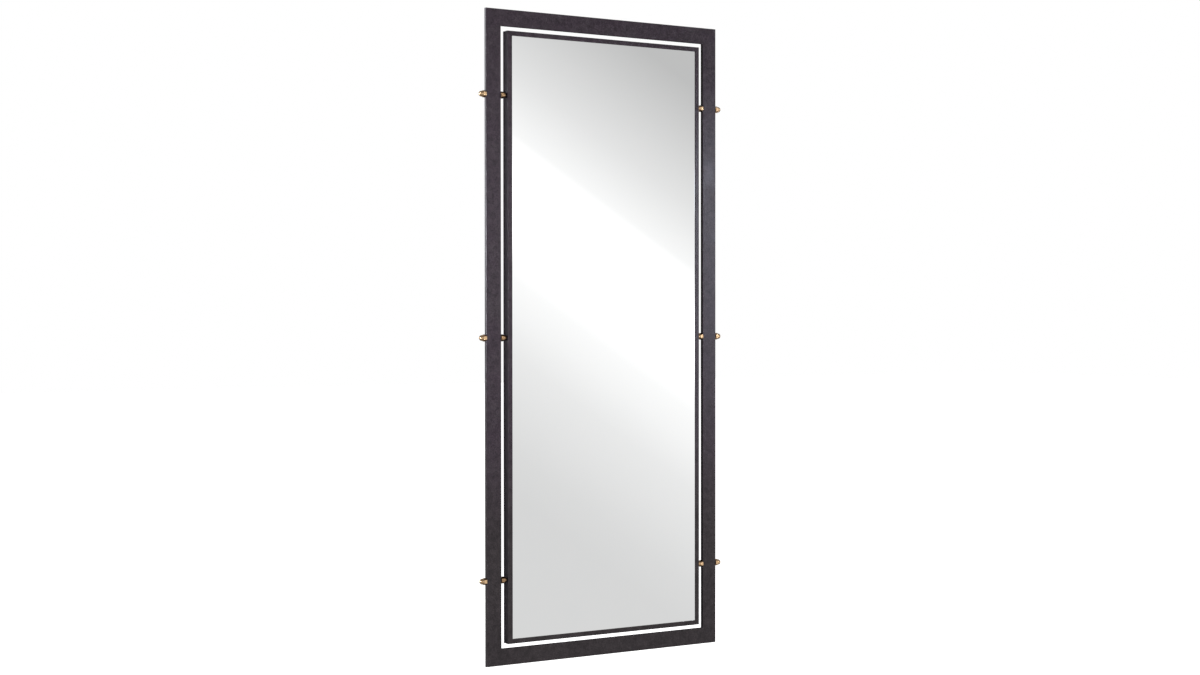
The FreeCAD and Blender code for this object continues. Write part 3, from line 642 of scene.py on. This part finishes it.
def punched_screw():
    """The screw with its recess cut."""
    screw, punch = screw_body(), cross_punch()
    cut = screw.modifiers.new("Recess", "BOOLEAN")
    cut.operation = "DIFFERENCE"
    cut.solver = "EXACT"
    cut.object = punch
    done = plain_copy(screw, "screw_pattern")
    bpy.data.objects.remove(punch)
    for face in done.data.polygons:
        face.use_smooth = False
    return done


def screw_rows():
    """A tree that sets screws in one upright row on each strap, each turned by its own amount."""
    inputs = {"Screw": "NodeSocketObject", "Count": "NodeSocketInt", "Pitch": NUMBER, "Spread": NUMBER,
              "Depth": NUMBER, "Top": NUMBER, "Seed": "NodeSocketInt", "Finish": "NodeSocketMaterial"}
    group, tree, inside, result = new_group(
        "screw_rows", inputs, {"Geometry": "NodeSocketGeometry"}, "GeometryNodeTree")
    both = tree.add("GeometryNodeJoinGeometry")
    for side in (-1.0, 1.0):
        row = tree.add("GeometryNodeMeshLine")
        tree.join(inside["Count"], row.inputs["Count"])
        start = tree.vector(X=tree.times(inside["Spread"], side), Y=inside["Depth"], Z=inside["Top"])
        tree.join(start, row.inputs["Start Location"])
        tree.join(tree.vector(Z=tree.times(inside["Pitch"], -1.0)), row.inputs["Offset"])
        tree.join(row.outputs["Mesh"], both.inputs["Geometry"])
    points = tree.add("GeometryNodeMeshToPoints")
    tree.join(both.outputs["Geometry"], points.inputs["Mesh"])
    screw = tree.add("GeometryNodeObjectInfo")
    tree.join(inside["Screw"], screw.inputs["Object"])
    turn = tree.add("FunctionNodeRandomValue", data_type="FLOAT")
    tree.join(inside["Seed"], turn.inputs["Seed"])
    turn.inputs[RANDOM_HIGHEST].default_value = math.tau
    placed = tree.add("GeometryNodeInstanceOnPoints")
    tree.join(points.outputs["Points"], placed.inputs["Points"])
    tree.join(screw.outputs["Geometry"], placed.inputs["Instance"])
    spin = tree.vector(X=-math.pi / 2, Y=turn.outputs[RANDOM_RESULT])
    tree.join(spin, placed.inputs["Rotation"])
    real = tree.add("GeometryNodeRealizeInstances")
    tree.join(placed.outputs["Instances"], real.inputs["Geometry"])
    coated = tree.add("GeometryNodeSetMaterial")
    tree.join(real.outputs["Geometry"], coated.inputs["Geometry"])
    tree.join(inside["Finish"], coated.inputs["Material"])
    tree.join(coated.outputs["Geometry"], result["Geometry"])
    return group


def hanger_screws():
    """The six screws that hold the two straps, in the places of the construction's plain ones."""
    names = [f"{side}_hanger_screw_{number + 1}"
             for side in HANGER_SIDES for number in range(SCREWS_PER_STRAP)]
    top_low, top_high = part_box("right_hanger_screw_1")
    next_low, next_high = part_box("right_hanger_screw_2")
    height = (top_low.z + top_high.z) / 2
    pattern = punched_screw()
    holder = finish_mesh(bmesh.new(), "screw_holder")
    rows = holder.modifiers.new("Rows", "NODES")
    rows.node_group = screw_rows()
    values = {"Screw": pattern, "Count": SCREWS_PER_STRAP, "Seed": SCREW_SEED, "Finish": ZINC,
              "Pitch": height - (next_low.z + next_high.z) / 2, "Spread": (top_low.x + top_high.x) / 2,
              "Depth": top_high.y - HEAD_HEIGHT, "Top": height}
    for socket in rows.node_group.interface.items_tree:
        if socket.in_out == "INPUT":
            rows[socket.identifier] = values[socket.name]
    screws = plain_copy(holder, "hanger_screws")
    bpy.data.objects.remove(pattern)
    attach(screws, "mirror")
    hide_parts(*names)


# Studio

FLOOR_DROP = 0.32
FLOOR_SIZE = 60.0
FLOOR_PALE, FLOOR_PALER = (0.80, 0.80, 0.80), (0.84, 0.84, 0.84)
# How far from the middle the floor starts and ends to fade into the white, and how much it glows before
FLOOR_FADE = (0.9, 3.2)
FLOOR_GLOW = 0.66

WHITE = (1.0, 1.0, 1.0)
# The even light that matt surfaces get from all round
EVEN_LIGHT = (0.24, 0.24, 0.24)
# The white band that the glass reflects leans like the photograph's. Across it, the studio goes from
# its dim end, above, through white to an even grey below.
BAND_ACROSS = (-0.5075, -0.3202, -0.8)
BAND_REACH = (-0.1205, 0.1042)
BAND_SHARES = [
    (0.00, 0.555), (0.11, 0.69), (0.22, 0.83), (0.33, 1.02), (0.42, 1.55), (0.53, 1.45), (0.57, 1.12),
    (0.60, 1.045), (0.66, 0.985), (0.74, 0.88), (0.83, 0.82), (0.92, 0.755), (1.00, 0.722),
]
# High up and low down, the studio goes dim, and behind the mirror it is grey. The ranges are of how far
# a direction points up or down, and back.
DIM_REACH, DIM_LEVEL = (0.24, 0.60), (0.26, 0.26, 0.27)
BEHIND_REACH, BEHIND_LEVEL = (-0.1, 0.4), (0.42, 0.42, 0.44)
# Soft boxes that only gloss shows: azimuth and elevation, half width and half height, the fade of the
# upright edges and of the level ones, all in degrees, then level and tint. The first two give the right
# stile its sheen. The others stand behind the wall's plane, where the glass never shows them, and light
# the bends and the sides that face left.
SOFT_BOXES = [
    (36.9, 1.2, 1.9, 2.6, 0.2, 2.0, 4.6, (0.92, 1.0, 1.14)),
    (36.9, 3.7, 1.9, 0.4, 0.2, 0.5, 24.0, (0.92, 1.0, 1.14)),
    (-106.0, 1.6, 14.0, 1.6, 3.0, 1.6, 75.0, (0.95, 0.98, 1.06)),
    (-152.0, 7.0, 14.0, 6.0, 6.0, 2.0, 3.4, (0.98, 1.0, 1.06)),
]
# Lamps: name, place, what it is turned to, width, height and watts
LAMPS = [
    ("front_lamp", (-0.2, -1.7, 0.25), (-0.1, 0.0, 0.15), 2.2, 0.6, 15.5),
    ("left_lamp", (-3.0, -1.6, 0.3), (0.0, 0.0, 0.1), 1.4, 1.0, 40.0),
    ("right_lamp", (3.0, -1.2, 0.3), (0.0, 0.0, 0.1), 1.4, 1.0, 14.0),
    ("back_lamp", (1.2, 3.2, 2.0), (0.0, 0.0, 0.2), 2.4, 2.4, 75.0),
]


def soft_box(tree, azimuth, elevation, room, box):
    """A rectangular light in the studio, with soft edges."""
    across, up, half_width, half_height, fade_across, fade_up, level, tint = box
    shares = []
    for angle, middle, half, fade in ((azimuth, across, half_width, fade_across),
                                      (elevation, up, half_height, fade_up)):
        away = tree.sum("ABSOLUTE", tree.sum("SUBTRACT", angle, math.radians(middle)))
        shares.append(tree.span(away, (math.radians(half + fade), math.radians(half)), smooth=True))
    return tree.blend(tree.times(*shares), room, tuple(level * part for part in tint))


def studio_world():
    """White to the eye, an even soft light on matt surfaces, and in gloss a studio with band and boxes."""
    world = bpy.data.worlds.new("studio")
    bpy.context.scene.world = world
    world.use_nodes = True
    world.node_tree.nodes.clear()
    tree = Tree(world.node_tree)
    ahead = tree.add("ShaderNodeTexCoord").outputs["Generated"]
    room = tree.ramp(tree.span(tree.dot(ahead, BAND_ACROSS), BAND_REACH), BAND_SHARES)
    dim = tree.span(tree.sum("ABSOLUTE", tree.dot(ahead, UPWARDS)), DIM_REACH, smooth=True)
    room = tree.blend(dim, room, DIM_LEVEL)
    behind = tree.span(tree.dot(ahead, BACKWARDS), BEHIND_REACH, smooth=True)
    room = tree.blend(tree.times(behind, tree.sum("SUBTRACT", 1.0, dim)), room, BEHIND_LEVEL)
    parts = tree.parts(ahead)
    azimuth = tree.sum("ARCTAN2", parts[X], tree.times(parts[Y], -1.0))
    elevation = tree.sum("ARCSINE", parts[Z])
    for box in SOFT_BOXES:
        room = soft_box(tree, azimuth, elevation, room, box)
    path = tree.add("ShaderNodeLightPath").outputs
    seen = tree.blend(path["Is Glossy Ray"], EVEN_LIGHT, room)
    seen = tree.blend(path["Is Camera Ray"], seen, WHITE)
    light = tree.add("ShaderNodeBackground")
    tree.join(seen, light.inputs["Color"])
    tree.join(light.outputs[0], tree.add("ShaderNodeOutputWorld").inputs["Surface"])


def pale_finish():
    """A matt pale floor that glows for the eye alone, and more the farther off, until it is white."""
    material = bpy.data.materials.new("pale_floor")
    material.use_nodes = True
    material.node_tree.nodes.clear()
    tree = Tree(material.node_tree)
    patches = tree.group(PATCHES, Patches_Per_Metre=3.0, Speckle_Per_Metre=90.0)
    matt = tree.add("ShaderNodeBsdfDiffuse")
    tree.join(tree.blend(patches["Speckle"], FLOOR_PALE, FLOOR_PALER), matt.inputs["Color"])
    distance = tree.add("ShaderNodeVectorMath", operation="LENGTH")
    tree.join(tree.own_place(), distance.inputs[0])
    away = tree.span(distance.outputs["Value"], FLOOR_FADE, smooth=True)
    seen = tree.add("ShaderNodeLightPath").outputs["Is Camera Ray"]
    glow = tree.add("ShaderNodeEmission")
    glow.inputs["Color"].default_value = opaque(WHITE)
    tree.join(tree.times(seen, tree.span(away, WHOLE, (FLOOR_GLOW, 1.0))), glow.inputs["Strength"])
    both = tree.add("ShaderNodeAddShader")
    tree.join(matt.outputs[0], both.inputs[0])
    tree.join(glow.outputs[0], both.inputs[1])
    tree.join(both.outputs[0], tree.add("ShaderNodeOutputMaterial").inputs["Surface"])
    return material


def pale_floor():
    """A plain pale floor, well under the hung mirror, that runs out into the white all round."""
    half = FLOOR_SIZE / 2
    height = cad_box[LOW].z - FLOOR_DROP
    corners = ((-half, -half), (half, -half), (half, half), (-half, half))
    mesh = bmesh.new()
    mesh.faces.new([mesh.verts.new((x, y, height)) for x, y in corners])
    floor = finish_mesh(mesh, "floor")
    floor.data.materials.append(pale_finish())
    floor.visible_glossy = False


def soft_lamp(name, spot, aim, width, height, power):
    """A large lamp that lights matt surfaces; gloss is left to the studio round it."""
    data = bpy.data.lights.new(name, "AREA")
    data.shape = "RECTANGLE"
    data.size = width
    data.size_y = height
    data.energy = power
    lamp = bpy.data.objects.new(name, data)
    bpy.context.scene.collection.objects.link(lamp)
    lamp.location = spot
    lamp.rotation_euler = (Vector(aim) - Vector(spot)).to_track_quat("-Z", "Y").to_euler()
    lamp.visible_glossy = False
    lamp.visible_camera = False


def place_camera():
    """The photograph's camera."""
    data = bpy.data.cameras.new("camera")
    data.lens = CAMERA_LENS
    data.sensor_width = CAMERA_SENSOR
    data.clip_start = CAMERA_NEAR
    data.clip_end = CAMERA_FAR
    camera = bpy.data.objects.new("camera", data)
    bpy.context.scene.collection.objects.link(camera)
    back = -Vector(CAMERA_AHEAD).normalized()
    right = Vector(CAMERA_UP).cross(back).normalized()
    up = back.cross(right)
    turned = Matrix((right, up, back)).transposed().to_4x4()
    camera.matrix_world = Matrix.Translation(Vector(CAMERA_SPOT)) @ turned
    bpy.context.scene.camera = camera


def set_the_stage():
    """Floor, light and camera."""
    bpy.context.scene.view_settings.view_transform = "Standard"
    studio_world()
    pale_floor()
    for lamp in LAMPS:
        soft_lamp(*lamp)
    place_camera()


dress_sub_parts()
hanger_screws()
set_the_stage()
